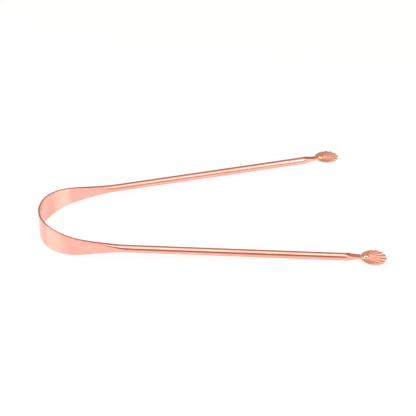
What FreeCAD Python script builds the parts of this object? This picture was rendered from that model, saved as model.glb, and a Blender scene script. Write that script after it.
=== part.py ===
import FreeCAD, Part
import math
import os
import Sketcher

# A copper tongue scraper: one round rod, rolled flat over its middle third, bent into a U,
# and coined at both ends into small shell-shaped finger rests.
# The real object is a single piece, so each sub-part below is one formed zone of the rod,
# cut square to the rod's line, and it meets its neighbours face to face.
# Millimetres and degrees. Every zone is drawn in the plane of the U: origin on the rod's
# line at the middle of the bend, +X towards the finger rests, near arm on -Y, +Z up.
# The whole is then laid down as it rests on a table, on the bend's lower edge and the arms.

doc = FreeCAD.newDocument("tongue_scraper")
sheet = doc.addObject("Spreadsheet::Sheet", "sizes")
worked = doc.addObject("App::VarSet", "worked")

SIZES = [
    ("rod_diameter", 3.1, "the drawn rod, and both arms"),
    ("band_height", 11.1, "rolled band at the middle of the bend"),
    ("flat_run", 8.3, "rod's line from the middle to where the band starts to narrow"),
    ("taper_run", 39.0, "rod's line over which the band narrows back to the round rod"),
    ("band_drop", 0.6, "how far the band's middle lies below the rods' plane"),
    ("band_lean", 2.0, "angle by which the band's top leans outwards"),
    ("bend_radius", 21.1, "bend, to the rod's line"),
    ("easing_radius", 69.0, "gentler curve between the bend and each arm"),
    ("easing_angle", 14.6, "angle to +X at which the bend gives way to the easing"),
    ("arm_angle", 9.9, "angle of each straight arm to +X"),
    ("straight_length", 109.5, "from the easing to the root of the finger rest"),
    ("neck_length", 5.8, "squeezed neck before the finger rest"),
    ("neck_width", 2.5, "neck's section at the finger rest"),
    ("neck_height", 0.9, "neck's section at the finger rest"),
    ("rest_lift", 0.2, "root's middle above the rod's line"),
    ("rest_roll", 1.5, "angle by which each finger rest faces outwards"),
    ("rim_diameter", 10.2, "circle through the tips of the shell's ribs"),
    ("rim_setback", 0.65, "from the root to the circle of the tips"),
    ("plate_diameter", 9.8, "plate that joins the ribs"),
    ("plate_setback", 0.1, "from the root to the plate"),
    ("plate_thickness", 0.5, "plate that joins the ribs"),
    ("hinge_distance", 2.4, "from the root to the point where the ribs meet"),
    ("rib_count", 8, "ribs of the shell"),
    ("rib_step", 17.7, "angle from rib to rib"),
    ("rib_length", 9.6, "each rib before the rim trims it"),
    ("rib_width", 2.6, "rib at its outer end"),
    ("rib_height", 0.85, "rib at its outer end, above the flat underside"),
    ("rib_root_width", 0.9, "rib where it leaves the hinge"),
    ("rib_root_height", 0.4, "rib where it leaves the hinge, above the flat underside"),
    ("rib_sink", 0.3, "how far the ribs reach below the underside before it is cut flat"),
    ("bead_diameter", 2.4, "round bead over the hinge"),
    ("bead_height", 1.5, "bead's top above the flat underside"),
    ("overrun", 3.0, "how far a cutting shape passes what it cuts"),
]

# The near arm lies on -Y, which is side +1 in the swing from the middle of the bend.
SIDES = (("near", 1), ("far", -1))
STATIONS_PER_BEND_SIDE = 5
STATIONS_PER_SHOULDER = 5
STATIONS_PER_NECK = 4

# A round rod is drawn as an oval this much taller than a circle, because an oval has flat sides.
ROUND_SHARE = 1.01


def fill_sheet():
    """Write each driving size as a plain number with its alias and what it is."""
    for row, (alias, size, meaning) in enumerate(SIZES, start=1):
        sheet.set("A%d" % row, meaning)
        sheet.set("B%d" % row, str(size))
        sheet.setAlias("B%d" % row, alias)
    doc.recompute()


def work_out(name, rule, kind="App::PropertyFloat"):
    """Add a value that follows from the driving sizes, and return how a rule refers to it."""
    worked.addProperty(kind, name, "worked out")
    worked.setExpression(name, rule)
    return "worked." + name


def number(reference):
    """Read a worked-out value, to draw a sketch near its final shape."""
    return float(getattr(worked, reference.split(".")[1]))


def size(reference):
    """Read a driving size, to draw a sketch near its final shape."""
    return float(getattr(sheet, reference.split(".")[1]))


def work_out_line():
    """Lay out the rod's line: bend, easing, straight arm, and where the neck and rest begin."""
    work_out("bend_swing", "90 - sizes.easing_angle")
    work_out("bend_run", "sizes.bend_radius * worked.bend_swing * pi / 180")
    work_out("easing_swing", "90 - sizes.arm_angle")
    work_out("easing_run", "sizes.easing_radius * (sizes.easing_angle - sizes.arm_angle) * pi / 180")
    work_out("arm_start_run", "worked.bend_run + worked.easing_run")
    work_out("bend_end_x", "sizes.bend_radius * (1 - cos(worked.bend_swing))")
    work_out("bend_end_y", "sizes.bend_radius * sin(worked.bend_swing)")
    work_out("arm_start_x", "worked.bend_end_x + sizes.easing_radius"
             " * (cos(worked.bend_swing) - cos(worked.easing_swing))")
    work_out("arm_start_y", "worked.bend_end_y + sizes.easing_radius"
             " * (sin(worked.easing_swing) - sin(worked.bend_swing))")
    work_out("shoulder_length", "sizes.flat_run + sizes.taper_run - worked.arm_start_run")
    work_out("rod_length", "sizes.straight_length - worked.shoulder_length - sizes.neck_length")
    work_out("neck_start", "worked.shoulder_length + worked.rod_length")


def work_out_section(name, run):
    """Find the band's share, height and thickness at one run along the rod's line.

    Rolling keeps the rod's cross-section area, so the thickness follows from the height:
    an oval of this height with round ends has the area of the round rod."""
    share = work_out(name + "_share", "0.5 + 0.5 * cos(180 * min(1; max(0;"
                     " (%s - sizes.flat_run) / sizes.taper_run)))" % run)
    round_height = "sizes.rod_diameter * %s" % ROUND_SHARE
    tall = work_out(name + "_tall", "%s + (sizes.band_height - %s) * %s"
                    % (round_height, round_height, share))
    thick = work_out(name + "_thick", "(%s - sqrt(%s ^ 2 - (4 - pi) * pi / 4 * sizes.rod_diameter ^ 2))"
                     " / (2 - pi / 2)" % (tall, tall))
    return share, tall, thick


def new_body(name, placement):
    """Start a sub-part, laid on the table with the rest of the scraper."""
    body = doc.addObject("PartDesign::Body", name)
    body.Label = name
    body.setExpression("Placement", placement)
    return body


def new_sketch(body, name, placement):
    """Start a sketch in its own body, placed by a rule from the body's XY plane."""
    sketch = body.newObject("Sketcher::SketchObject", name)
    plane = [item for item in body.Origin.OriginFeatures if item.Role == "XY_Plane"][0]
    sketch.AttachmentSupport = [(plane, "")]
    sketch.MapMode = "FlatFace"
    sketch.setExpression("AttachmentOffset", placement)
    return sketch


def place_primitive(feature, body, placement):
    """Place a primitive feature by a rule from its body's XY plane."""
    plane = [item for item in body.Origin.OriginFeatures if item.Role == "XY_Plane"][0]
    feature.AttachmentSupport = [(plane, "")]
    feature.MapMode = "FlatFace"
    feature.setExpression("AttachmentOffset", placement)


def drive(sketch, constraint, name, rule):
    """Add a sketch dimension, name it and tie it to a rule."""
    index = sketch.addConstraint(constraint)
    sketch.renameConstraint(index, name)
    sketch.setExpression("Constraints." + name, rule)


def draw_oval(body, name, tall, thick, placement):
    """Sketch an oval with flat sides and round ends, tall along its own Y."""
    sketch = new_sketch(body, name, placement)
    radius = number(thick) / 2
    reach = number(tall) / 2 - radius
    low, high = FreeCAD.Vector(0, -reach, 0), FreeCAD.Vector(0, reach, 0)
    aside, up = FreeCAD.Vector(radius, 0, 0), FreeCAD.Vector(0, 0, 1)
    sketch.addGeometry([
        Part.LineSegment(high - aside, low - aside),
        Part.ArcOfCircle(Part.Circle(low, up, radius), math.pi, 2 * math.pi),
        Part.LineSegment(low + aside, high + aside),
        Part.ArcOfCircle(Part.Circle(high, up, radius), 0, math.pi)], False)
    for side in range(4):
        sketch.addConstraint(Sketcher.Constraint("Tangent", side, 2, (side + 1) % 4, 1))
    sketch.addConstraint(Sketcher.Constraint("Vertical", 0))
    sketch.addConstraint(Sketcher.Constraint("Equal", 1, 3))
    sketch.addConstraint(Sketcher.Constraint("Symmetric", 1, 3, 3, 3, -1, 1))
    drive(sketch, Sketcher.Constraint("Radius", 1, radius), "end_radius", "%s / 2" % thick)
    drive(sketch, Sketcher.Constraint("DistanceY", 1, 3, 3, 3, 2 * reach), "flat_length",
          "%s - %s" % (tall, thick))
    return sketch


def draw_circle(body, name, diameter, placement):
    """Sketch a circle about the sketch's own origin."""
    sketch = new_sketch(body, name, placement)
    middle, up = FreeCAD.Vector(0, 0, 0), FreeCAD.Vector(0, 0, 1)
    radius = size(diameter) / 2
    sketch.addGeometry(Part.Circle(middle, up, radius), False)
    sketch.addConstraint(Sketcher.Constraint("Coincident", 0, 3, -1, 1))
    drive(sketch, Sketcher.Constraint("Diameter", 0, 2 * radius), "diameter", diameter)
    return sketch


def section_place(x, y, z, swing, lean):
    """Stand a section sketch across the rod's line: its own X outwards, its own Y up."""
    return ("placement(vector(%s; %s; %s); rotation(vector(0; 0; 1); 180 + %s)"
            " * rotation(vector(1; 0; 0); 90) * rotation(vector(0; 0; 1); -(%s)))"
            % (x, y, z, swing, lean))


def plan_band():
    """Work out the band's sections from one arm to the other: name, size and place of each."""
    sections = []
    ends = STATIONS_PER_BEND_SIDE + 1
    for step in range(-ends, ends + 1):
        side = 1 if step > 0 else -1
        name = "band_%s%d" % ("near" if side > 0 else "far", abs(step))
        if abs(step) == ends:
            run, swing = "worked.arm_start_run", "%d * worked.easing_swing" % side
            x, y = "worked.arm_start_x", "%d * worked.arm_start_y" % -side
        else:
            swing = "(%d * worked.bend_swing / %d)" % (step, STATIONS_PER_BEND_SIDE)
            run = "(worked.bend_run * %d / %d)" % (abs(step), STATIONS_PER_BEND_SIDE)
            x = "sizes.bend_radius * (1 - cos(%s))" % swing
            y = "-sizes.bend_radius * sin(%s)" % swing
        share, tall, thick = work_out_section(name, run)
        place = section_place(x, y, "-sizes.band_drop * " + share, swing, "sizes.band_lean * " + share)
        sections.append((name + "_section", tall, thick, place))
    return sections


def plan_shoulder(label, side):
    """Work out a shoulder's sections, from the band's end to the round rod."""
    sections = []
    for step in range(STATIONS_PER_SHOULDER):
        name = "%s_shoulder%d" % (label, step)
        along = "worked.shoulder_length * %d / %d" % (step, STATIONS_PER_SHOULDER - 1)
        share, tall, thick = work_out_section(name, "(worked.arm_start_run + %s)" % along)
        place = section_place(along, "0", "-sizes.band_drop * " + share, "%d" % (90 * side),
                              "sizes.band_lean * " + share)
        sections.append((name + "_section", tall, thick, place))
    return sections


def plan_neck(label, side):
    """Work out a neck's sections, from the round rod to the flat root of the finger rest."""
    sections = []
    round_wide = "%s * sizes.rod_diameter" % ROUND_SHARE
    round_deep = "(2 - %s) * sizes.rod_diameter" % ROUND_SHARE
    for step in range(STATIONS_PER_NECK):
        name = "%s_neck%d" % (label, step)
        done = "%d / %d" % (step, STATIONS_PER_NECK - 1)
        share = work_out(name + "_share", "0.5 - 0.5 * cos(180 * %s)" % done)
        wide = work_out(name + "_wide", "%s + (sizes.neck_width - %s) * %s"
                        % (round_wide, round_wide, share))
        deep = work_out(name + "_deep", "%s + (sizes.neck_height - %s) * %s"
                        % (round_deep, round_deep, share))
        place = ("placement(vector(worked.neck_start + sizes.neck_length * %s; 0;"
                 " sizes.rest_lift * %s); rotation(vector(1; 0; 0); %d * sizes.rest_roll * %s)"
                 " * rotation(vector(0; 1; 0); 90))" % (done, share, side, share))
        sections.append((name + "_section", wide, deep, place))
    return sections


def draw_crest(body, name, width, height, placement):
    """Sketch a rib's section: an arc over a flat base, the base on the sketch's own X axis.

    The base lies below the finger rest's underside, which is cut flat afterwards."""
    sketch = new_sketch(body, name, placement)
    half = size(width) / 2
    tall = size(height) + sheet.rib_sink
    radius = (half ** 2 + tall ** 2) / (2 * tall)
    left, right, top = (FreeCAD.Vector(*point, 0) for point in ((-half, 0), (half, 0), (0, tall)))
    sketch.addGeometry([Part.Arc(right, top, left), Part.LineSegment(left, right)], False)
    sketch.addConstraint(Sketcher.Constraint("Coincident", 0, 2, 1, 1))
    sketch.addConstraint(Sketcher.Constraint("Coincident", 1, 2, 0, 1))
    sketch.addConstraint(Sketcher.Constraint("Symmetric", 1, 1, 1, 2, -1, 1))
    sketch.addConstraint(Sketcher.Constraint("Horizontal", 1))
    drive(sketch, Sketcher.Constraint("DistanceX", 1, 1, 1, 2, 2 * half), "base_width", width)
    whole = "(%s + sizes.rib_sink)" % height
    drive(sketch, Sketcher.Constraint("Radius", 0, radius), "crest_radius",
          "(%s ^ 2 / 4 + %s ^ 2) / (2 * %s)" % (width, whole, whole))
    return sketch


def build_loft(label, placement, sections):
    """Build a formed zone of the rod: one smooth solid through a row of oval sections."""
    body = new_body(label, placement)
    sketches = [draw_oval(body, *section) for section in sections]
    feature = body.newObject("PartDesign::AdditiveLoft", label + "_loft")
    feature.Profile = sketches[0]
    feature.Sections = sketches[1:]
    return body


def build_arm(label):
    """The plain round rod between the shoulder and the neck."""
    body = new_body(label + "_arm", "worked.%s_arm_laid" % label)
    place = "placement(vector(worked.shoulder_length; 0; 0); rotation(vector(0; 1; 0); 90))"
    sketch = draw_circle(body, label + "_rod_section", "sizes.rod_diameter", place)
    pad = body.newObject("PartDesign::Pad", label + "_rod")
    pad.Profile = sketch
    pad.setExpression("Length", "worked.rod_length")
    return body


def build_finger_rest(label):
    """The coined shell: ribs fanned from a hinge, a plate between them, and a bead on the hinge."""
    body = new_body(label + "_finger_rest", "worked.%s_rest_laid" % label)
    half_fan = "(sizes.rib_count - 1) / 2 * sizes.rib_step"

    ends = []
    for end, along, width, height in (("root", "0", "sizes.rib_root_width", "sizes.rib_root_height"),
                                      ("tip", "sizes.rib_length", "sizes.rib_width", "sizes.rib_height")):
        place = ("placement(vector(sizes.hinge_distance; 0; -sizes.neck_height / 2 - sizes.rib_sink);"
                 " rotation(vector(0; 0; 1); -%s)) * placement(vector(%s; 0; 0);"
                 " rotation(vector(0; 0; 1); 90) * rotation(vector(1; 0; 0); 90))" % (half_fan, along))
        ends.append(draw_crest(body, "%s_rib_%s" % (label, end), width, height, place))
    rib = body.newObject("PartDesign::AdditiveLoft", label + "_rib")
    rib.Profile = ends[0]
    rib.Sections = ends[1:]
    rib.Ruled = True

    hinge_line = new_sketch(body, label + "_hinge_line",
                            "placement(vector(sizes.hinge_distance; 0; 0); rotation(vector(0; 0; 1); 0))")
    fan = body.newObject("PartDesign::PolarPattern", label + "_rib_fan")
    fan.Originals = [rib]
    fan.Axis = (hinge_line, ["N_Axis"])
    fan.setExpression("Angle", "(sizes.rib_count - 1) * sizes.rib_step")
    fan.setExpression("Occurrences", "sizes.rib_count")
    body.Tip = fan

    rim = new_sketch(body, label + "_rim", "placement(vector(worked.rim_x; 0; 0);"
                     " rotation(vector(0; 0; 1); 0))")
    middle, up = FreeCAD.Vector(0, 0, 0), FreeCAD.Vector(0, 0, 1)
    inner = sheet.rim_diameter
    outer = inner + 2 * (sheet.rib_length + sheet.overrun)
    rim.addGeometry([Part.Circle(middle, up, inner / 2), Part.Circle(middle, up, outer / 2)], False)
    rim.addConstraint(Sketcher.Constraint("Coincident", 0, 3, -1, 1))
    rim.addConstraint(Sketcher.Constraint("Coincident", 1, 3, -1, 1))
    drive(rim, Sketcher.Constraint("Diameter", 0, inner), "rim_diameter", "sizes.rim_diameter")
    drive(rim, Sketcher.Constraint("Diameter", 1, outer), "trim_diameter",
          "sizes.rim_diameter + 2 * (sizes.rib_length + sizes.overrun)")
    trim = body.newObject("PartDesign::Pocket", label + "_rim_trim")
    trim.Profile = rim
    trim.Midplane = True
    trim.setExpression("Length", "2 * (sizes.rib_height + sizes.overrun)")

    plate = body.newObject("PartDesign::AdditiveCylinder", label + "_plate")
    plate.setExpression("Radius", "sizes.plate_diameter / 2")
    plate.setExpression("Height", "sizes.plate_thickness")
    place_primitive(plate, body, "placement(vector(worked.plate_x; 0; -sizes.neck_height / 2);"
                    " rotation(vector(0; 0; 1); 0))")

    root_place = "placement(vector(0; 0; 0); rotation(vector(0; 1; 0); 90))"
    root = draw_oval(body, label + "_root", "worked.%s_neck%d_wide" % (label, STATIONS_PER_NECK - 1),
                     "worked.%s_neck%d_deep" % (label, STATIONS_PER_NECK - 1), root_place)
    stem = body.newObject("PartDesign::Pad", label + "_stem")
    stem.Profile = root
    stem.setExpression("Length", "sizes.hinge_distance")

    bead = body.newObject("PartDesign::AdditiveSphere", label + "_bead")
    bead.setExpression("Radius", "sizes.bead_diameter / 2")
    place_primitive(bead, body, "placement(vector(sizes.hinge_distance; 0; worked.bead_z);"
                    " rotation(vector(0; 0; 1); 0))")

    under = new_sketch(body, label + "_underside",
                       "placement(vector(worked.rim_x; 0; -sizes.neck_height / 2);"
                       " rotation(vector(0; 0; 1); 0))")
    under.addGeometry(Part.Circle(middle, up, outer / 2), False)
    under.addConstraint(Sketcher.Constraint("Coincident", 0, 3, -1, 1))
    drive(under, Sketcher.Constraint("Diameter", 0, outer), "cut_diameter",
          "sizes.rim_diameter + 2 * (sizes.rib_length + sizes.overrun)")
    flat = body.newObject("PartDesign::Pocket", label + "_flat_underside")
    flat.Profile = under
    flat.setExpression("Length", "sizes.bead_diameter + sizes.overrun")
    return body


def work_out_rest():
    """Place the shell's rim, plate and bead from the root and from its flat underside."""
    work_out("rim_x", "sizes.rim_diameter / 2 + sizes.rim_setback")
    work_out("plate_x", "sizes.plate_diameter / 2 + sizes.plate_setback")
    work_out("bead_z", "sizes.bead_height - sizes.bead_diameter / 2 - sizes.neck_height / 2")


def lay_down():
    """Lay the scraper on a table: the bend's lower edge and the ends of both arms touch it.

    The band touches where its full height ends, a little to each side of the middle.
    The origin comes to the table, under the middle of the scraper's length."""
    share, tall, thick = work_out_section("middle", "0")
    upright = "((%s - %s) / 2 * cos(sizes.band_lean))" % (tall, thick)
    aside = "((%s - %s) / 2 * sin(sizes.band_lean))" % (tall, thick)
    work_out("foot_depth", "sizes.band_drop + %s + %s / 2" % (upright, thick))
    work_out("foot_x", "%s + sizes.bend_radius * (1 - cos(sizes.flat_run / sizes.bend_radius"
             " * 180 / pi))" % aside)
    work_out("neck_start_x", "worked.arm_start_x + worked.neck_start * cos(sizes.arm_angle)")
    work_out("table_tilt", "atan((worked.foot_depth - sizes.rod_diameter / 2)"
             " / (worked.neck_start_x - worked.foot_x)) / 1 deg")
    work_out("front_x", "worked.arm_start_x + (sizes.straight_length + worked.rim_x)"
             " * cos(sizes.arm_angle) + sizes.rim_diameter / 2")
    work_out("back_x", "-%s - %s / 2" % (aside, thick))
    work_out("middle_x", "((worked.front_x + worked.back_x) * cos(worked.table_tilt)"
             " + (%s - sizes.band_drop) * sin(worked.table_tilt)) / 2" % upright)
    work_out("lift", "worked.foot_depth * cos(worked.table_tilt)"
             " + worked.foot_x * sin(worked.table_tilt)")
    work_out("laid", "placement(vector(-worked.middle_x; 0; worked.lift);"
             " rotation(vector(0; 1; 0); worked.table_tilt))", "App::PropertyPlacement")
    for label, side in SIDES:
        work_out("%s_arm_laid" % label,
                 "worked.laid * placement(vector(worked.arm_start_x; %d * worked.arm_start_y; 0);"
                 " rotation(vector(0; 0; 1); %d * sizes.arm_angle))" % (-side, -side),
                 "App::PropertyPlacement")
        work_out("%s_rest_laid" % label,
                 "worked.%s_arm_laid * placement(vector(sizes.straight_length; 0; sizes.rest_lift);"
                 " rotation(vector(1; 0; 0); %d * sizes.rest_roll))" % (label, side),
                 "App::PropertyPlacement")


def check_and_write(bodies):
    """Stop on any object that failed, then write one file for each sub-part."""
    doc.recompute()
    for item in doc.Objects:
        if "Invalid" in item.State or "Error" in item.State:
            raise RuntimeError("%s failed: %s" % (item.Name, item.State))
    os.makedirs("parts", exist_ok=True)
    for body in bodies:
        shape = body.Shape
        if shape.isNull() or not shape.isValid() or len(shape.Solids) != 1:
            raise RuntimeError("%s is not one sound solid" % body.Label)
        shape.exportStep("parts/%s.step" % body.Label)
        box = shape.optimalBoundingBox(False)
        print("%-18s volume %8.2f mm3  x %8.2f %8.2f  y %7.2f %7.2f  z %6.3f %6.3f" % (
            body.Label, shape.Volume, box.XMin, box.XMax, box.YMin, box.YMax, box.ZMin, box.ZMax))


fill_sheet()
work_out_line()
work_out_rest()
lay_down()
lofts = [("scraping_band", "worked.laid", plan_band())]
for label, side in SIDES:
    lofts.append((label + "_shoulder", "worked.%s_arm_laid" % label, plan_shoulder(label, side)))
    lofts.append((label + "_neck", "worked.%s_arm_laid" % label, plan_neck(label, side)))
doc.recompute()
parts = [build_loft(*plan) for plan in lofts]
for label, side in SIDES:
    parts.append(build_arm(label))
    parts.append(build_finger_rest(label))
check_and_write(parts)
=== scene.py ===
"""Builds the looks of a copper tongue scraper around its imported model."""

import math

import bmesh
import bpy
from mathutils import Matrix, Vector


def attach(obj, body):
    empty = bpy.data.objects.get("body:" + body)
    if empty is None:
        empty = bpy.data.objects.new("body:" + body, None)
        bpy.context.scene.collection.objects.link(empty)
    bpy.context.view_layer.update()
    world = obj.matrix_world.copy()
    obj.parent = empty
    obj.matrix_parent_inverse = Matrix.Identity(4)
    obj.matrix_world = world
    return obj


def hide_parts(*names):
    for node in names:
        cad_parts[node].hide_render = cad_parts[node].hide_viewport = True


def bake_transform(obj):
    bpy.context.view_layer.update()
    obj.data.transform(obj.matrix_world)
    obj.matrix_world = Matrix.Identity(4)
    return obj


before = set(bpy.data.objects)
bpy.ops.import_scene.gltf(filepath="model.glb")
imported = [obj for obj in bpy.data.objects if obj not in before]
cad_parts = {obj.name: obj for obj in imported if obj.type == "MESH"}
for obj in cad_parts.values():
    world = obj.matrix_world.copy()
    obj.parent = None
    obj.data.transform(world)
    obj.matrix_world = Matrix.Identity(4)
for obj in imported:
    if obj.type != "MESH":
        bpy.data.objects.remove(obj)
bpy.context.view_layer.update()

bl_info = {
    "name": "Copper Tongue Scraper",
    "version": (1, 0, 0),
    "blender": (4, 5, 0),
    "location": "3D View > Sidebar > Scraper",
    "description": "Builds a polished copper tongue scraper and its photo stage",
    "category": "Object",
}

MM = 0.001
SIDES = (("near", -1), ("far", 1))  # the near arm lies on -Y

# Faces along and around each zone of the rod.
BAND_STEPS = 90
SHOULDER_STEPS = 40
ARM_STEPS = 180
NECK_STEPS = 30
CORNER_STEPS = 9
FLAT_SHARES = (0.97, 0.85, 0.6, 0.25, -0.25, -0.6, -0.85, -0.97)
EDGE_SHARES = (0.8, 0.3, -0.3, -0.8)
WELD = 1e-7  # points closer than this, in metres, are one

# The copper's grazing reflections are tinted darker: painted shade that draws the arms' dark top
# edges, while the band's middle keeps plain reflections. The tint starts and is full at these runs
# from the middle, in millimetres.
EDGE_SHADE_TINT = "D9A898"
EDGE_SHADE_START = 16
EDGE_SHADE_FULL = 32

# The buffing wheel misses the squeezed neck: between these runs from the middle, in
# millimetres, the roughness grows by this factor.
SATIN_START = 134
SATIN_FULL = 139
SATIN_GAIN = 2.6

# Corner radius as a share of half the thickness: rolling and squeezing leave crisp flat edges.
# The power says how late the shoulder's corners grow back to the rod's roundness.
BAND_CORNER_SHARE = 0.25
BAND_CORNER_POWER = 6
NECK_CORNER_SHARE = 0.22

# The dies bite suddenly, this many millimetres before the neck, then squeeze ever more gently.
# Their edges are fully crisp after this share of the way to the finger rest.
BITE_LEAD = 0.6
BITE_POWER = 2
CRISP_SHARE = 0.25

# Faces of the finger rest: per rib, along each flank, across the root and from hinge to rim.
RIB_STEPS = 20
FLANK_STEPS = 12
ROOT_STEPS = 10
BEAD_STEPS = 10
SHELL_STEPS = 26
RIM_STEPS = 5

# Form of the shell's ribs: how blunt their tips are from above, how flat their crests are
# before the flanks fall, and the share of height that they lose towards the shell's sides.
TIP_POWERS = (2.5, 0.6)
CREST_POWER = 3
SIDE_RIB_LOSS = 0.5

# Soft edges of the finger rest, in millimetres: fillets round the bead and along the neck's
# stub, which sinks into the face as this power says, and the bevel and rounding of the rim.
BEAD_FILLET = 0.05
STUB_FILLET = 0.12
STUB_POWER = 3
RIM_BEVEL = 0.28
RIM_ROUNDING = 0.14
BEAD_REACH_SHARE = 0.985  # the bead's own faces end just short of its upright side
FILLET_REACH_SHARE = 1.6  # beyond this share of the bead's radius, its fillet is nil

# Point attribute of the finger rests that tells how brightly a spot is buffed: 0 at the bottom
# of a groove, 1 on the bead. Below the crests' value it also paints the colour darker towards
# the groove, as painted shade. The bead is fully buffed from this height above the face, in
# millimetres. The dies burnish the ribs' flanks, most at the rim: from a share of the way to
# the groove, fully after a further share, and in the last share the buff fades to nothing,
# which is where the painted shade darkens the groove.
BUFFED = "buffed"
BEAD_BUFF_HEIGHT = 0.4
CREST_BUFFED = 0.4
FLANK_BUFFED = 0.78
FLANK_SHARE = 0.68
FLANK_FADE_SHARE = 0.2
GROOVE_SHARE = 0.12

# Noise of the patches and of the lines. The lines' values between low and high take the
# roughness from the first to the second of these shares of the polish.
PATCH_NOISE = {"Detail": 2.0, "Roughness": 0.5}
LINE_NOISE = {"Detail": 3.0, "Roughness": 0.6}
LINE_LOW = 0.3
LINE_HIGH = 0.7
LINE_POLISH_SHARES = (0.75, 1.3)

# Values of the patches where the bloom starts and is full, and the range that wear works over.
BLOOM_START = 0.45
BLOOM_FULL = 0.8
WEAR_LOW = 0.35
WEAR_HIGH = 0.65

# The room of the stage, in metres: a dome whose walls keep their colour up to a share of its
# height, over a floor of white acrylic. The sensor's width is in millimetres.
FLOOR_RADIUS = 4
ROOM_RADIUS = 1.5
WALL_SHARE = 0.4
FLOOR_ROUGHNESS = 0.16
ACRYLIC_IOR = 1.49
SENSOR_WIDTH = 36
VIEW_RANGE = (0.01, 50)

# Each softbox: its name, the direction it stands in, its distance, width and height in metres.
SOFTBOXES = (
    ("key", (-0.063, -0.35, 0.934), 0.5, 1.3, 0.43),
    ("front_fill", (0.512, -0.819, 0.259), 0.7, 0.45, 0.35),
    ("right_fill", (0.761, -0.413, 0.5), 1.2, 0.84, 0.4),
    ("left_fill", (-0.804, 0.089, 0.588), 0.7, 0.42, 0.28),
)


def linear(hex_text):
    """An sRGB colour written as six hex digits, as linear red, green and blue."""
    shares = [int(hex_text[at:at + 2], 16) / 255 for at in (0, 2, 4)]
    return tuple(c / 12.92 if c <= 0.04045 else ((c + 0.055) / 1.055) ** 2.4 for c in shares)


def length(name, meaning, millimetres):
    return bpy.props.FloatProperty(name=name, description=meaning, default=millimetres * MM,
                                   precision=5, subtype="DISTANCE", unit="LENGTH")


def angle(name, meaning, degrees):
    return bpy.props.FloatProperty(name=name, description=meaning, default=math.radians(degrees),
                                   subtype="ANGLE", unit="ROTATION")


def share(name, meaning, default):
    return bpy.props.FloatProperty(name=name, description=meaning, default=default,
                                   min=0, soft_max=1, subtype="FACTOR")


def brightness(name, meaning, default):
    return bpy.props.FloatProperty(name=name, description=meaning, default=default,
                                   min=0, soft_max=4, subtype="FACTOR")


def colour(name, meaning, hex_text):
    return bpy.props.FloatVectorProperty(name=name, description=meaning, default=linear(hex_text),
                                         min=0, max=1, size=3, subtype="COLOR")


class ScraperSizes(bpy.types.PropertyGroup):
    """Sizes of the scraper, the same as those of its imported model."""

    rod_diameter: length("Rod Diameter", "Drawn rod, and both arms", 3.1)
    band_height: length("Band Height", "Rolled band at the middle of the bend", 11.1)
    flat_run: length("Flat Run", "Rod's line from the middle to where the band narrows", 8.3)
    taper_run: length("Taper Run", "Rod's line over which the band narrows to the rod", 39)
    band_drop: length("Band Drop", "Band's middle below the rods' plane", 0.6)
    band_lean: angle("Band Lean", "Angle by which the band's top leans outwards", 2)
    bend_radius: length("Bend Radius", "Bend, to the rod's line", 21.1)
    easing_radius: length("Easing Radius", "Curve between the bend and each arm", 69)
    easing_angle: angle("Easing Angle", "Angle to +X where the bend gives way", 14.6)
    arm_angle: angle("Arm Angle", "Angle of each straight arm to +X", 9.9)
    straight_length: length("Straight Length", "From the easing to the finger rest", 109.5)
    neck_length: length("Neck Length", "Squeezed neck before the finger rest", 5.8)
    neck_width: length("Neck Width", "Neck's section at the finger rest", 2.5)
    neck_height: length("Neck Height", "Neck's section at the finger rest", 0.9)
    rest_lift: length("Rest Lift", "Root's middle above the rod's line", 0.2)
    rest_roll: angle("Rest Roll", "Angle by which each rest faces outwards", 1.5)
    rim_diameter: length("Rim Diameter", "Circle through the tips of the shell's ribs", 10.2)
    rim_setback: length("Rim Setback", "From the root to the circle of the tips", 0.65)
    plate_diameter: length("Plate Diameter", "Plate that joins the ribs", 9.8)
    plate_setback: length("Plate Setback", "From the root to the plate", 0.1)
    hinge_distance: length("Hinge Distance", "From the root to where the ribs meet", 2.4)
    rib_count: bpy.props.IntProperty(name="Rib Count", description="Ribs of the shell",
                                     default=8, min=3, max=16)
    rib_step: angle("Rib Step", "Angle from rib to rib", 17.7)
    rib_height: length("Rib Height", "Rib's crest at its tip, above the underside", 0.85)
    rib_root_height: length("Rib Root Height", "Rib's crest at the hinge", 0.55)
    groove_height: length("Groove Height", "Bottom of the grooves, above the underside", 0.44)
    tip_height: length("Tip Height", "Where a rib's rounded tip starts to fall", 0.4)
    bead_diameter: length("Bead Diameter", "Round bead over the hinge", 2.4)
    bead_height: length("Bead Height", "Bead's top above the underside", 1.5)


class ScraperColours(bpy.types.PropertyGroup):
    """Colours and polish of the three copper finishes."""

    rolled: colour("Rolled Copper", "Polished copper of the band", "FDC0B2")
    rolled_bloom: colour("Rolled Bloom", "Warmer patches on the band", "F9B49E")
    drawn: colour("Drawn Copper", "Polished copper of the arms", "FDC1B4")
    drawn_bloom: colour("Drawn Bloom", "Deeper streaks on the arms", "F6B19B")
    coined: colour("Coined Copper", "Crests of the finger rests", "F4C5B2")
    # Painted shade: the grooves' darker colour stands in for the shade that falls in them.
    coined_groove_shade: colour("Coined Groove", "Tarnish in the grooves", "D89C86")
    polish: share("Polish Roughness", "Roughness of the polished rod and band", 0.14)
    coin_polish: share("Coined Roughness", "Roughness of the coined rests", 0.56)


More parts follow.
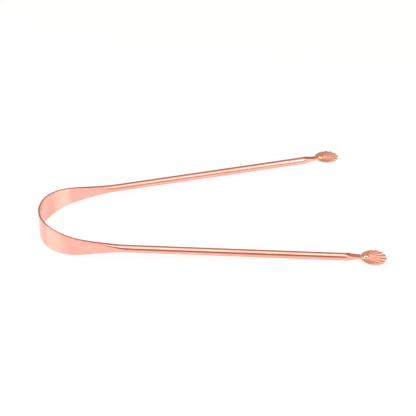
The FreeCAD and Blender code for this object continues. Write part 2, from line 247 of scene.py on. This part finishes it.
class ScraperStage(bpy.types.PropertyGroup):
    """Camera, floor, walls and softboxes of the photo stage."""

    camera_elevation: angle("Camera Elevation", "Above the plane of the U", 32.39)
    camera_azimuth: angle("Camera Azimuth", "Round the object from looking along +Y", -10.45)
    camera_roll: angle("Camera Roll", "Turn of the frame about the view", 2.43)
    camera_distance: length("Camera Distance", "From the aim point", 560)
    camera_lens: bpy.props.FloatProperty(name="Lens", description="Focal length on a 36 mm sensor",
                                         default=111.8, min=1, unit="CAMERA")
    aim_x: length("Aim X", "Point the camera looks at, from the middle of the bend", 72.61)
    aim_y: length("Aim Y", "Point the camera looks at, from the middle of the bend", 3.366)
    floor: colour("Floor", "White acrylic floor", "F8F8F8")
    floor_glow: share("Floor Glow", "Share of the floor's white that comes from below it", 0.87)
    floor_paint: share("Floor Paint", "Share of the floor's white that the room lights", 0.15)
    wall: colour("Room Walls", "Warm dark walls that draw the metal's dark lines", "B08474")
    ceiling: colour("Ceiling", "Round the softbox", "D8C0B4")
    key: brightness("Key Brightness", "How bright the overhead softbox looks, paper being 1", 1.32)
    front_fill: brightness("Front Fill Brightness", "Low softbox right of the camera", 0.32)
    right_fill: brightness("Right Fill Brightness", "Softbox beyond the finger rests", 3.3)
    left_fill: brightness("Left Fill Brightness", "Softbox beyond the bend", 3.6)


class RodLine:
    """The rod's line in the plane of the U: origin at the middle of the bend, +X to the rests."""

    def __init__(self, sizes):
        self.sizes = sizes
        self.bend_swing = math.pi / 2 - sizes.easing_angle
        self.bend_run = sizes.bend_radius * self.bend_swing
        self.arm_start_run = self.bend_run + sizes.easing_radius * (
            sizes.easing_angle - sizes.arm_angle)
        self.bend_end = self.on_bend(self.bend_swing)
        self.arm_start = self.on_easing(sizes.arm_angle)
        self.shoulder_end_run = sizes.flat_run + sizes.taper_run
        self.neck_run = self.arm_start_run + sizes.straight_length - sizes.neck_length
        self.root_run = self.arm_start_run + sizes.straight_length

    def on_bend(self, swing):
        radius = self.sizes.bend_radius
        return Vector((radius * (1 - math.cos(swing)), radius * math.sin(swing)))

    def on_easing(self, heading):
        sizes = self.sizes
        return self.bend_end + sizes.easing_radius * Vector((
            math.sin(sizes.easing_angle) - math.sin(heading),
            math.cos(heading) - math.cos(sizes.easing_angle)))

    def at(self, run):
        """Point on the line, aside from +X, and the line's heading at a run from the middle."""
        sizes = self.sizes
        if run < self.bend_run:
            swing = run / sizes.bend_radius
            return self.on_bend(swing), math.pi / 2 - swing
        if run < self.arm_start_run:
            heading = sizes.easing_angle - (run - self.bend_run) / sizes.easing_radius
            return self.on_easing(heading), heading
        along = Vector((math.cos(sizes.arm_angle), math.sin(sizes.arm_angle)))
        return self.arm_start + along * (run - self.arm_start_run), sizes.arm_angle


def section_marks():
    """Marks round a section: shares of its half width and half height, and a corner's direction.

    They start at the middle of the lower edge, which is out of sight."""
    marks = []
    for quarter, (across, up) in enumerate(((1, -1), (1, 1), (-1, 1), (-1, -1))):
        for step in range(CORNER_STEPS + 1):
            turn = math.pi / 2 * (quarter - 1 + step / CORNER_STEPS)
            marks.append((across, up, math.cos(turn), math.sin(turn)))
        if quarter % 2 == 0:
            marks += [(across, -across * flat, across, 0) for flat in FLAT_SHARES]
        else:
            marks += [(up * flat, up, 0, up) for flat in EDGE_SHARES]
    start = len(marks) - len(EDGE_SHARES) // 2
    return marks[start:] + marks[:start]


def rounded(marks, wide, tall, corner):
    """Points of a rectangle with rounded corners, outwards and up from its middle."""
    half_wide, half_tall = wide / 2 - corner, tall / 2 - corner
    return [(across * half_wide + cosine * corner, up * half_tall + sine * corner)
            for across, up, cosine, sine in marks]


def leaned(across, up, lean):
    """A point of a section after its top has leaned outwards."""
    return (across * math.cos(lean) + up * math.sin(lean),
            up * math.cos(lean) - across * math.sin(lean))


def stand(line, side, run, points, lean=0, drop=0):
    """Stand a section's points, outwards and up, across the rod's line at a run."""
    spot, heading = line.at(run)
    middle = Vector((spot.x, side * spot.y))
    outward = Vector((-math.sin(heading), side * math.cos(heading)))
    stood = []
    for point in points:
        across, up = leaned(*point, lean)
        flat = middle + outward * across
        stood.append(Vector((flat.x, flat.y, up - drop)))
    return stood


def rolled_thickness(sizes, tall):
    """Thickness of a section with round ends: rolling keeps the rod's cross-section area."""
    area = math.pi / 4 * sizes.rod_diameter ** 2
    return (tall - math.sqrt(tall ** 2 - (4 - math.pi) * area)) / (2 - math.pi / 2)


def rolled_section(line, side, run, marks):
    """The band's and shoulder's section, from the flat band to the round rod."""
    sizes = line.sizes
    tapered = min(1, max(0, (run - sizes.flat_run) / sizes.taper_run))
    flatness = (1 + math.cos(math.pi * tapered)) / 2
    tall = sizes.rod_diameter + (sizes.band_height - sizes.rod_diameter) * flatness
    thick = rolled_thickness(sizes, tall)
    roundness = (1 - flatness) ** BAND_CORNER_POWER
    corner = thick / 2 * (BAND_CORNER_SHARE + (1 - BAND_CORNER_SHARE) * roundness)
    return stand(line, side, run, rounded(marks, thick, tall, corner),
                 sizes.band_lean * flatness, sizes.band_drop * flatness)


def neck_section(line, side, run, marks):
    """The neck's section: squeezed from the round rod to the flat root of the finger rest."""
    sizes = line.sizes
    done = 1 - (line.root_run - run) / (sizes.neck_length + BITE_LEAD * MM)
    squeeze = 1 - (1 - done) ** BITE_POWER
    wide = sizes.rod_diameter + (sizes.neck_width - sizes.rod_diameter) * squeeze
    deep = sizes.rod_diameter + (sizes.neck_height - sizes.rod_diameter) * squeeze
    corner = deep / 2 * (1 + (NECK_CORNER_SHARE - 1) * min(1, done / CRISP_SHARE))
    return stand(line, side, run, rounded(marks, wide, deep, corner), sizes.rest_roll * squeeze,
                 -sizes.rest_lift * squeeze)


def arm_section(line, side, run, marks):
    """The arm's section: round, with the dies' bite just starting at its end."""
    if run < line.neck_run - BITE_LEAD * MM:
        return rolled_section(line, side, run, marks)
    return neck_section(line, side, run, marks)


def laid_down(line):
    """Lay the U on the floor: the bend's lower edge and the ends of both arms touch it."""
    sizes = line.sizes
    thick = rolled_thickness(sizes, sizes.band_height)
    reach = (sizes.band_height - thick) / 2
    upright, aside = reach * math.cos(sizes.band_lean), reach * math.sin(sizes.band_lean)
    foot_depth = sizes.band_drop + upright + thick / 2
    foot_x = aside + sizes.bend_radius * (1 - math.cos(sizes.flat_run / sizes.bend_radius))
    neck_start = line.at(line.neck_run)[0]
    tilt = math.atan((foot_depth - sizes.rod_diameter / 2) / (neck_start.x - foot_x))
    rim_x = sizes.rim_diameter / 2 + sizes.rim_setback
    front_x = line.at(line.root_run + rim_x)[0].x + sizes.rim_diameter / 2
    back_x = -aside - thick / 2
    middle_x = ((front_x + back_x) * math.cos(tilt)
                + (upright - sizes.band_drop) * math.sin(tilt)) / 2
    lift = foot_depth * math.cos(tilt) + foot_x * math.sin(tilt)
    return Matrix.Translation((-middle_x, 0, lift)) @ Matrix.Rotation(tilt, 4, "Y")


def wrapped(rows, closed_ends, buffs=None):
    """A grid wrapped into a tube: one row of points for each step along, welded at the seam.

    Each row is a pair: how far along it lies, and its points. The UV map holds millimetres.
    Buffs, in the same rows, tell how brightly each point is buffed."""
    around = len(rows[0][1])
    bm = bmesh.new()
    uv = bm.loops.layers.uv.new("UVMap")
    buffed = bm.verts.layers.float.new(BUFFED) if buffs else None
    bmesh.ops.create_grid(bm, x_segments=len(rows) - 1, y_segments=around, size=1, calc_uvs=True)
    girths = []
    for along, points in rows:
        girth = [0]
        for at in range(around):
            girth.append(girth[-1] + (points[(at + 1) % around] - points[at]).length)
        girths.append(girth)
    for face in bm.faces:
        for corner in face.loops:
            row, at = round(corner[uv].uv.x * (len(rows) - 1)), round(corner[uv].uv.y * around)
            corner.vert.co = rows[row][1][at % around]
            if buffs:
                corner.vert[buffed] = buffs[row][at % around]
            corner[uv].uv = rows[row][0] / MM, girths[row][at] / MM
        face.smooth = True
    bmesh.ops.remove_doubles(bm, verts=bm.verts, dist=WELD)
    if closed_ends:
        rim = [edge for edge in bm.edges if edge.is_boundary]
        for cap in bmesh.ops.holes_fill(bm, edges=rim, sides=0)["faces"]:
            cap.smooth = False
            for edge in cap.edges:
                edge.smooth = False
    bmesh.ops.recalc_face_normals(bm, faces=bm.faces)
    return bm


def piece(bm, name, material, place):
    """Put a finished mesh in the scene, laid down with the rest of the scraper."""
    bm.transform(place)
    mesh = bpy.data.meshes.new(name)
    bm.to_mesh(mesh)
    bm.free()
    mesh.materials.append(material)
    made = bpy.data.objects.new(name, mesh)
    bpy.context.scene.collection.objects.link(made)
    return made


def zone(name, line, side, section, start, end, steps, material):
    """One formed zone of the rod, from a start run to an end run."""
    marks = section_marks()
    rows = []
    for step in range(steps + 1):
        run = start + (end - start) * step / steps
        rows.append((run, section(line, side, run, marks)))
    return piece(wrapped(rows, True), name, material, laid_down(line))


def soft_max(one, other, softness):
    """The larger of two heights, with a small fillet where they meet."""
    return (one + other + math.sqrt((one - other) ** 2 + softness ** 2)) / 2


class Shell:
    """The coined finger rest in its own plane.

    X runs from the root to the tip and y outwards, and heights are above its flat underside."""

    def __init__(self, sizes):
        self.sizes = sizes
        self.hinge = sizes.hinge_distance
        self.fan_edge = sizes.rib_count / 2 * sizes.rib_step
        self.root_half = sizes.neck_width / 2
        self.plate_x = sizes.plate_diameter / 2 + sizes.plate_setback
        self.full_reach = sizes.rim_diameter + sizes.rim_setback - self.hinge

    def reach(self, turn, diameter, setback):
        """From the hinge to a circle set back from the root, at an angle to the arm."""
        radius = diameter / 2
        offset = radius + setback - self.hinge
        return offset * math.cos(turn) + math.sqrt(radius ** 2 - (offset * math.sin(turn)) ** 2)

    def plate_reach(self, turn):
        return self.reach(turn, self.sizes.plate_diameter, self.sizes.plate_setback)

    def tip_reach(self, turn):
        return self.reach(turn, self.sizes.rim_diameter, self.sizes.rim_setback)

    def outline(self):
        """Points round the shell: x, y, and the share across the rib that ends there, or None."""
        sizes = self.sizes
        bulge, bluntness = TIP_POWERS
        points = []
        ribs = sizes.rib_count * RIB_STEPS
        for step in range(ribs + 1):
            turn = self.fan_edge * (2 * step / ribs - 1)
            across = (step % RIB_STEPS) / RIB_STEPS - 0.5
            lobe = (1 - abs(2 * across) ** bulge) ** bluntness
            plate = self.plate_reach(turn)
            reach = plate + (self.tip_reach(turn) - plate) * lobe
            points.append((self.hinge + reach * math.cos(turn), reach * math.sin(turn), across))
        stub_x = self.plate_x - math.sqrt((sizes.plate_diameter / 2) ** 2 - self.root_half ** 2)
        last = math.atan2(self.root_half, stub_x - self.hinge)
        flank = []
        for step in range(1, FLANK_STEPS + 1):
            turn = self.fan_edge + (last - self.fan_edge) * step / FLANK_STEPS
            reach = self.plate_reach(turn)
            flank.append((self.hinge + reach * math.cos(turn), reach * math.sin(turn), None))
        flank.append((stub_x / 2, self.root_half, None))
        root = [(0, self.root_half * (1 - 2 * step / ROOT_STEPS), None)
                for step in range(ROOT_STEPS + 1)]
        return points + flank + root + [(x, -y, across) for x, y, across in reversed(flank)]

    def face_height(self, x, y, across):
        """Height of the ribs and grooves, or of the plain plate beside them."""
        sizes = self.sizes
        if across is None:
            return sizes.groove_height
        out = math.hypot(x - self.hinge, y) / self.full_reach
        crest = sizes.rib_root_height + (sizes.rib_height - sizes.rib_root_height) * out
        aside = math.atan2(y, x - self.hinge) / self.fan_edge
        relief = (crest - sizes.groove_height) * (1 - SIDE_RIB_LOSS * aside ** 2)
        return sizes.groove_height + relief * (1 - abs(2 * across) ** CREST_POWER)

    def stub_height(self, y, sunk):
        """Height of the neck's stub, which has the neck's section and sinks into the face."""
        end_radius = self.sizes.neck_height / 2
        flat_half = self.root_half - end_radius
        rounding = min(1, max(0, abs(y) - flat_half) / end_radius)
        return end_radius * (1 + math.sqrt(1 - rounding ** 2)) * (1 - sunk ** STUB_POWER)

    def height(self, x, y, across):
        """Height of the upper face, and how brightly the spot is buffed."""
        sizes = self.sizes
        out = math.hypot(x - self.hinge, y)
        top = face = self.face_height(x, y, across)
        radius = sizes.bead_diameter / 2
        bead = sizes.bead_height - radius + math.sqrt(max(0, radius ** 2 - out ** 2))
        if out < FILLET_REACH_SHARE * radius:
            top = soft_max(face, bead, BEAD_FILLET * MM)
        if x < self.hinge:
            sunk = max(0, x / self.hinge)
            top = soft_max(top, self.stub_height(y, sunk), STUB_FILLET * MM * sunk)
        proud = min(1, max(0, bead - face) / (BEAD_BUFF_HEIGHT * MM))
        buff = CREST_BUFFED + (1 - CREST_BUFFED) * proud
        if across is not None:
            flank = (abs(2 * across) - FLANK_SHARE) / FLANK_FADE_SHARE
            burnish = min(1, max(0, flank)) * out / self.full_reach
            buff += (FLANK_BUFFED - buff) * burnish
            # Towards the groove's bottom the buff falls to 0, which paints the groove darker as
            # painted shade.
            buff *= min(1, (1 - abs(2 * across)) / GROOVE_SHARE)
        return top, buff

    def rows(self):
        """Rings round the shell from the hinge over its face and rim to the hinge underneath.

        Each is a pair: the share of its own stretch that lies behind it, and its points, which
        are x, y, the height above the underside and the buff."""
        sizes = self.sizes
        bevel, rounding = RIM_BEVEL * MM, RIM_ROUNDING * MM
        bead_reach = sizes.bead_diameter / 2 * BEAD_REACH_SHARE
        shares = [("bead", step / BEAD_STEPS) for step in range(BEAD_STEPS + 1)]
        shares += [("face", math.sin(math.pi / 2 * step / SHELL_STEPS))
                   for step in range(1, SHELL_STEPS + 1)]
        shares += [("rim", step / RIM_STEPS) for step in range(1, RIM_STEPS + 1)] + [("hinge", 0)]
        outline = self.outline()
        rows = []
        for stretch, done in shares:
            ring = []
            for x, y, across in outline:
                reach = math.hypot(x - self.hinge, y)
                cut = x < WELD  # the flat root, where the neck goes on
                tuck = 0 if cut else rounding * (1 - math.cos(math.pi / 2 * done))
                out = {"bead": bead_reach * done, "face": bead_reach + (reach - bead_reach) * done,
                       "rim": reach - tuck, "hinge": 0}[stretch]
                spot_x, spot_y = self.hinge + (x - self.hinge) * out / reach, y * out / reach
                up, buff = 0, CREST_BUFFED
                if stretch in ("bead", "face"):
                    up, buff = self.height(spot_x, spot_y, across)
                    if not cut:
                        inset = min(1, max(0, (reach - out) / bevel))
                        fall = math.sqrt(1 - (1 - inset) ** 2)
                        up = sizes.tip_height + (up - sizes.tip_height) * fall
                elif stretch == "rim":
                    up = self.height(x, y, across)[0] if cut else sizes.tip_height
                    up *= 1 - math.sin(math.pi / 2 * done)
                ring.append((spot_x, spot_y, up, buff))
            rows.append((done, ring))
        return rows


def finger_rest(name, line, side, material):
    """The coined shell, wrapped from the hinge over its face, rim and flat underside.

    Its satin follows the object's coordinates, so its UV map is only nominal along the rings."""
    sizes = line.sizes
    root, heading = line.at(line.root_run)
    along = Vector((math.cos(heading), side * math.sin(heading), 0))
    outward = Vector((-math.sin(heading), side * math.cos(heading), 0))
    base = Vector((root.x, side * root.y, 0))
    underside = sizes.rest_lift - sizes.neck_height / 2
    rows, buffs = [], []
    for done, ring in Shell(sizes).rows():
        points = []
        for x, y, up, buff in ring:
            across, lifted = leaned(y, underside + up, sizes.rest_roll)
            points.append(base + along * x + outward * across + Vector((0, 0, lifted)))
        rows.append((done * MM, points))
        buffs.append([buff for x, y, up, buff in ring])
    return piece(wrapped(rows, False, buffs), name, material, laid_down(line))


def add(tree, kind, settings=None, inputs=None, stops=()):
    """Add a node, set its options, and give its inputs values or other nodes' outputs.

    A colour ramp also takes its stops: the position and the colour of each."""
    made = tree.nodes.new("ShaderNode" + kind)
    for option, value in (settings or {}).items():
        setattr(made, option, value)
    for name, value in (inputs or {}).items():
        if isinstance(value, bpy.types.NodeSocket):
            tree.links.new(value, made.inputs[name])
        else:
            made.inputs[name].default_value = value
    for at, (position, tint) in enumerate(stops):
        made.color_ramp.elements[at].position = position
        made.color_ramp.elements[at].color = (*tint, 1)
    return made


def fresh_material(name):
    """A node material with no nodes yet."""
    material = bpy.data.materials.get(name) or bpy.data.materials.new(name)
    material.use_nodes = True
    material.node_tree.nodes.clear()
    return material


def polished_copper(name, tint, bloom, polish, line_width, line_length, line_depth, bloom_size):
    """Copper buffed bright, with fine lines along the rod and soft patches of a warmer bloom.

    The lines are what rolls and dies leave: they smear reflections a little across the rod.
    Real ones are only hundredths of a millimetre apart, and they are drawn coarser so that they
    show. All sizes are in millimetres, as the UV map is."""
    finest, coarsest = LINE_POLISH_SHARES
    material = fresh_material(name)
    tree = material.node_tree
    place = add(tree, "TexCoord")
    run = add(tree, "SeparateXYZ", inputs={"Vector": place.outputs["UV"]})
    along = add(tree, "Mapping", inputs={"Vector": place.outputs["UV"],
                                         "Scale": (1 / line_length, 1 / line_width, 1)})
    lines = add(tree, "TexNoise", inputs={"Vector": along.outputs["Vector"], "Scale": 1.0,
                                          **LINE_NOISE})
    patches = add(tree, "TexNoise", inputs={"Vector": place.outputs["Object"],
                                            "Scale": 1 / (bloom_size * MM), **PATCH_NOISE})
    colour_mix = add(tree, "ValToRGB", inputs={"Fac": patches.outputs["Fac"]},
                     stops=((BLOOM_START, tint), (BLOOM_FULL, bloom)))
    # Painted shade: from these runs on, the specular tint darkens the copper's grazing reflections.
    edge_shade = add(tree, "MapRange", {"interpolation_type": "SMOOTHSTEP"},
               {"Value": run.outputs["X"], "From Min": EDGE_SHADE_START, "From Max": EDGE_SHADE_FULL})
    edge_shade_tint = add(tree, "ValToRGB", inputs={"Fac": edge_shade.outputs["Result"]},
                    stops=((0, (1, 1, 1)), (1, linear(EDGE_SHADE_TINT))))
    lined = add(tree, "MapRange", inputs={
        "Value": lines.outputs["Fac"], "From Min": LINE_LOW, "From Max": LINE_HIGH,
        "To Min": polish * finest, "To Max": polish * coarsest})
    satin = add(tree, "MapRange", {"interpolation_type": "SMOOTHSTEP"},
                {"Value": run.outputs["X"], "From Min": SATIN_START, "From Max": SATIN_FULL,
                 "To Min": 1.0, "To Max": SATIN_GAIN})
    rough = add(tree, "Math", {"operation": "MULTIPLY"},
                {0: lined.outputs["Result"], 1: satin.outputs["Result"]})
    bump = add(tree, "Bump", inputs={"Height": lines.outputs["Fac"], "Strength": 1.0,
                                     "Distance": line_depth * MM})
    shader = add(tree, "BsdfPrincipled", inputs={
        "Base Color": colour_mix.outputs["Color"], "Metallic": 1.0,
        "Specular Tint": edge_shade_tint.outputs["Color"],
        "Roughness": rough.outputs["Value"], "Normal": bump.outputs["Normal"]})
    add(tree, "OutputMaterial", inputs={"Surface": shader.outputs["BSDF"]})
    return material


def rolled_copper(colours):
    """Rod copper rolled flat, then buffed: faint roll lines, 0.2 mm apart, run round the bend."""
    return polished_copper("rolled_polished_copper", colours.rolled, colours.rolled_bloom,
                           colours.polish, line_width=0.2, line_length=14, line_depth=0.0009,
                           bloom_size=9)


def drawn_copper(colours):
    """Copper rod drawn through a die, then buffed: draw lines, 0.16 mm apart, run all along it."""
    return polished_copper("drawn_polished_copper", colours.drawn, colours.drawn_bloom,
                           colours.polish, line_width=0.16, line_length=25, line_depth=0.0006,
                           bloom_size=14)


def coined_copper(colours):
    """Copper struck between two dies and only brushed over: satin, and paler than the rod.

    The dies' fine grain blurs the reflections and the grooves get a darker, warmer painted shade.
    The bead, which stands proud, is buffed as bright as the rod, and the ribs' flanks gleam a
    little.
    A real die's grain is about 0.05 mm, and it is drawn five times coarser so that it shows."""
    grain_size, grain_depth, wear_size = 0.25, 0.0015, 2.2  # millimetres
    wear_share = 0.08
    material = fresh_material("coined_satin_copper")
    tree = material.node_tree
    place = add(tree, "TexCoord")
    buffed = add(tree, "Attribute", {"attribute_name": BUFFED})
    grain = add(tree, "TexNoise", inputs={"Vector": place.outputs["Object"],
                                          "Scale": 1 / (grain_size * MM), **PATCH_NOISE})
    wear = add(tree, "TexNoise", inputs={"Vector": place.outputs["Object"],
                                         "Scale": 1 / (wear_size * MM), **PATCH_NOISE})
    worn = add(tree, "MapRange", inputs={
        "Value": wear.outputs["Fac"], "From Min": WEAR_LOW, "From Max": WEAR_HIGH,
        "To Min": -wear_share, "To Max": wear_share})
    bright = add(tree, "Math", {"operation": "ADD", "use_clamp": True},
                 {0: buffed.outputs["Fac"], 1: worn.outputs["Result"]})
    # Painted shade: below the crests' buff the colour darkens to the groove colour.
    groove_shade = add(tree, "ValToRGB", inputs={"Fac": bright.outputs["Value"]},
                  stops=((0, colours.coined_groove_shade), (CREST_BUFFED, colours.coined)))
    rough = add(tree, "MapRange", inputs={
        "Value": bright.outputs["Value"], "From Min": CREST_BUFFED, "From Max": 1.0,
        "To Min": colours.coin_polish, "To Max": colours.polish})
    bump = add(tree, "Bump", inputs={"Height": grain.outputs["Fac"], "Strength": 1.0,
                                     "Distance": grain_depth * MM})
    shader = add(tree, "BsdfPrincipled", inputs={
        "Base Color": groove_shade.outputs["Color"], "Metallic": 1.0,
        "Roughness": rough.outputs["Result"], "Normal": bump.outputs["Normal"]})
    add(tree, "OutputMaterial", inputs={"Surface": shader.outputs["BSDF"]})
    return material


class SCRAPER_OT_band(bpy.types.Operator):
    """Rolled band round the bend, in two halves"""

    bl_idname = "scraper.band"
    bl_label = "Scraping Band"

    def execute(self, context):
        line = RodLine(context.scene.scraper_sizes)
        material = rolled_copper(context.scene.scraper_colours)
        place = laid_down(line)
        for label, side in SIDES:
            half = zone("band_%s_half" % label, line, side, rolled_section, 0, line.arm_start_run,
                        BAND_STEPS, material)
            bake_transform(half)
            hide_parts("scraping_band")
        return {"FINISHED"}


class SCRAPER_OT_shoulders(bpy.types.Operator):
    """Shoulders, where the band narrows and thickens back to the round rod"""

    bl_idname = "scraper.shoulders"
    bl_label = "Shoulders"

    def execute(self, context):
        line = RodLine(context.scene.scraper_sizes)
        material = rolled_copper(context.scene.scraper_colours)
        for label, side in SIDES:
            made = zone(label + "_shoulder_look", line, side, rolled_section, line.arm_start_run,
                        line.shoulder_end_run, SHOULDER_STEPS, material)
            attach(made, label + "_side")
            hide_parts(label + "_shoulder")
        return {"FINISHED"}


class SCRAPER_OT_arms(bpy.types.Operator):
    """Plain round rods of both arms"""

    bl_idname = "scraper.arms"
    bl_label = "Arms"

    def execute(self, context):
        line = RodLine(context.scene.scraper_sizes)
        material = drawn_copper(context.scene.scraper_colours)
        for label, side in SIDES:
            made = zone(label + "_arm_look", line, side, arm_section, line.shoulder_end_run,
                        line.neck_run, ARM_STEPS, material)
            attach(made, label + "_side")
            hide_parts(label + "_arm")
        return {"FINISHED"}


class SCRAPER_OT_necks(bpy.types.Operator):
    """Squeezed necks before the finger rests"""

    bl_idname = "scraper.necks"
    bl_label = "Necks"

    def execute(self, context):
        line = RodLine(context.scene.scraper_sizes)
        material = drawn_copper(context.scene.scraper_colours)
        for label, side in SIDES:
            made = zone(label + "_neck_look", line, side, neck_section, line.neck_run,
                        line.root_run, NECK_STEPS, material)
            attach(made, label + "_side")
            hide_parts(label + "_neck")
        return {"FINISHED"}


class SCRAPER_OT_finger_rests(bpy.types.Operator):
    """Coined shells with their ribs and bead"""

    bl_idname = "scraper.finger_rests"
    bl_label = "Finger Rests"

    def execute(self, context):
        line = RodLine(context.scene.scraper_sizes)
        material = coined_copper(context.scene.scraper_colours)
        for label, side in SIDES:
            made = finger_rest(label + "_finger_rest_look", line, side, material)
            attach(made, label + "_side")
            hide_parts(label + "_finger_rest")
        return {"FINISHED"}


def glossy_floor(stage):
    """White acrylic, lit from below as well, so that the object's shadow on it stays soft and pale.

    The camera, metal and glass all see the glow, so the copper mirrors the same white floor.
    In the metal it fades towards the horizon, where acrylic reflects the room instead, and its
    gloss mirrors the fill softboxes into the band's walls."""
    material = fresh_material("glossy_floor")
    tree = material.node_tree
    ray = add(tree, "LightPath")
    mirrored = add(tree, "Math", {"operation": "ADD", "use_clamp": True},
                   {0: ray.outputs["Is Glossy Ray"], 1: ray.outputs["Is Transmission Ray"]})
    gloss = add(tree, "Fresnel", inputs={"IOR": ACRYLIC_IOR})
    through = add(tree, "Math", {"operation": "SUBTRACT"}, {0: 1.0, 1: gloss.outputs["Fac"]})
    faded = add(tree, "Math", {"operation": "MULTIPLY"},
                {0: mirrored.outputs["Value"], 1: through.outputs["Value"]})
    seen = add(tree, "Math", {"operation": "ADD", "use_clamp": True},
               {0: ray.outputs["Is Camera Ray"], 1: faded.outputs["Value"]})
    glow = add(tree, "Math", {"operation": "MULTIPLY"},
               {0: seen.outputs["Value"], 1: stage.floor_glow})
    shader = add(tree, "BsdfPrincipled", inputs={
        "Base Color": (*(stage.floor_paint * part for part in stage.floor), 1),
        "Roughness": FLOOR_ROUGHNESS, "IOR": ACRYLIC_IOR,
        "Emission Color": (1, 1, 1, 1), "Emission Strength": glow.outputs["Value"]})
    add(tree, "OutputMaterial", inputs={"Surface": shader.outputs["BSDF"]})
    return material


def room_walls(stage):
    """Painted walls, warm and dark, lighter towards the ceiling."""
    material = fresh_material("room_walls")
    tree = material.node_tree
    place = add(tree, "TexCoord")
    parts = add(tree, "SeparateXYZ", inputs={"Vector": place.outputs["Object"]})
    rise = add(tree, "Math", {"operation": "DIVIDE"}, {0: parts.outputs["Z"], 1: ROOM_RADIUS})
    paint = add(tree, "ValToRGB", inputs={"Fac": rise.outputs["Value"]},
                stops=((WALL_SHARE, stage.wall), (1, stage.ceiling)))
    glow = add(tree, "Emission", inputs={"Color": paint.outputs["Color"], "Strength": 1.0})
    add(tree, "OutputMaterial", inputs={"Surface": glow.outputs["Emission"]})
    return material


def softbox(name, toward, distance, width, height, radiance):
    """A rectangular softbox that faces the object, seen by the metal but not by the camera."""
    lamp = bpy.data.lights.new(name, "AREA")
    lamp.shape, lamp.size, lamp.size_y = "RECTANGLE", width, height
    lamp.energy = radiance * math.pi * width * height
    made = bpy.data.objects.new(name, lamp)
    bpy.context.scene.collection.objects.link(made)
    made.visible_camera = False
    direction = Vector(toward).normalized()
    made.matrix_world = (Matrix.Translation(direction * distance)
                         @ direction.to_track_quat("Z", "Y").to_matrix().to_4x4())


class SCRAPER_OT_stage(bpy.types.Operator):
    """White floor, softboxes and the camera of the photograph"""

    bl_idname = "scraper.stage"
    bl_label = "Stage"

    def execute(self, context):
        stage = context.scene.scraper_stage
        scene = context.scene
        scene.view_settings.view_transform = "Standard"
        line = RodLine(scene.scraper_sizes)

        world = bpy.data.worlds.get("Studio") or bpy.data.worlds.new("Studio")
        world.use_nodes = True
        world.node_tree.nodes.clear()
        sky = add(world.node_tree, "Background", inputs={"Color": (1, 1, 1, 1), "Strength": 1.0})
        add(world.node_tree, "OutputWorld", inputs={"Surface": sky.outputs["Background"]})
        scene.world = world

        bm = bmesh.new()
        bmesh.ops.create_circle(bm, cap_ends=True, segments=96, radius=FLOOR_RADIUS)
        floor = piece(bm, "floor", glossy_floor(stage), Matrix())

        # The room above the floor: the camera never sees it, the metal shows its warm dark walls.
        bm = bmesh.new()
        bmesh.ops.create_uvsphere(bm, u_segments=64, v_segments=32, radius=ROOM_RADIUS)
        bmesh.ops.bisect_plane(bm, geom=[*bm.verts, *bm.edges, *bm.faces], plane_co=(0, 0, 0),
                               plane_no=(0, 0, 1), clear_inner=True)
        bmesh.ops.reverse_faces(bm, faces=bm.faces)
        room = piece(bm, "room", room_walls(stage), Matrix())
        room.visible_camera = False

        for name, toward, distance, width, height in SOFTBOXES:
            softbox(name + "_softbox", toward, distance, width, height, getattr(stage, name))

        cam = bpy.data.cameras.new("camera")
        cam.lens, cam.sensor_width = stage.camera_lens, SENSOR_WIDTH
        cam.clip_start, cam.clip_end = VIEW_RANGE
        viewer = bpy.data.objects.new("camera", cam)
        scene.collection.objects.link(viewer)
        azimuth, elevation = stage.camera_azimuth, stage.camera_elevation
        back = Vector((math.sin(azimuth) * math.cos(elevation),
                       -math.cos(azimuth) * math.cos(elevation), math.sin(elevation)))
        right = Vector((math.cos(azimuth), math.sin(azimuth), 0))
        turned = Matrix((right, back.cross(right), back)).transposed().to_4x4()
        aim = Vector((stage.aim_x, stage.aim_y, 0))
        viewer.matrix_world = (
            laid_down(line) @ Matrix.Translation(aim + back * stage.camera_distance)
            @ turned @ Matrix.Rotation(stage.camera_roll, 4, "Z"))
        scene.camera = viewer
        return {"FINISHED"}


OPERATORS = (SCRAPER_OT_stage, SCRAPER_OT_band, SCRAPER_OT_shoulders, SCRAPER_OT_arms,
             SCRAPER_OT_necks, SCRAPER_OT_finger_rests)


class SCRAPER_PT_panel(bpy.types.Panel):
    """Lists the pieces of the scraper, its sizes, colours and stage"""

    bl_idname = "SCRAPER_PT_panel"
    bl_label = "Tongue Scraper"
    bl_space_type = "VIEW_3D"
    bl_region_type = "UI"
    bl_category = "Scraper"

    def draw(self, context):
        for operator in OPERATORS:
            self.layout.operator(operator.bl_idname)
        for group in (context.scene.scraper_sizes, context.scene.scraper_colours,
                      context.scene.scraper_stage):
            box = self.layout.box()
            for name in group.bl_rna.properties.keys():
                if name not in ("rna_type", "name"):
                    box.prop(group, name)


GROUPS = (("scraper_sizes", ScraperSizes), ("scraper_colours", ScraperColours),
          ("scraper_stage", ScraperStage))


def register():
    for name, group in GROUPS:
        bpy.utils.register_class(group)
        setattr(bpy.types.Scene, name, bpy.props.PointerProperty(type=group))
    for item in (*OPERATORS, SCRAPER_PT_panel):
        bpy.utils.register_class(item)


def unregister():
    for item in (SCRAPER_PT_panel, *reversed(OPERATORS)):
        bpy.utils.unregister_class(item)
    for name, group in reversed(GROUPS):
        delattr(bpy.types.Scene, name)
        bpy.utils.unregister_class(group)


def main():
    register()
    for operator in OPERATORS:
        name = operator.bl_idname.split(".")[1]
        getattr(bpy.ops.scraper, name)()


if __name__ == "__main__":
    main()
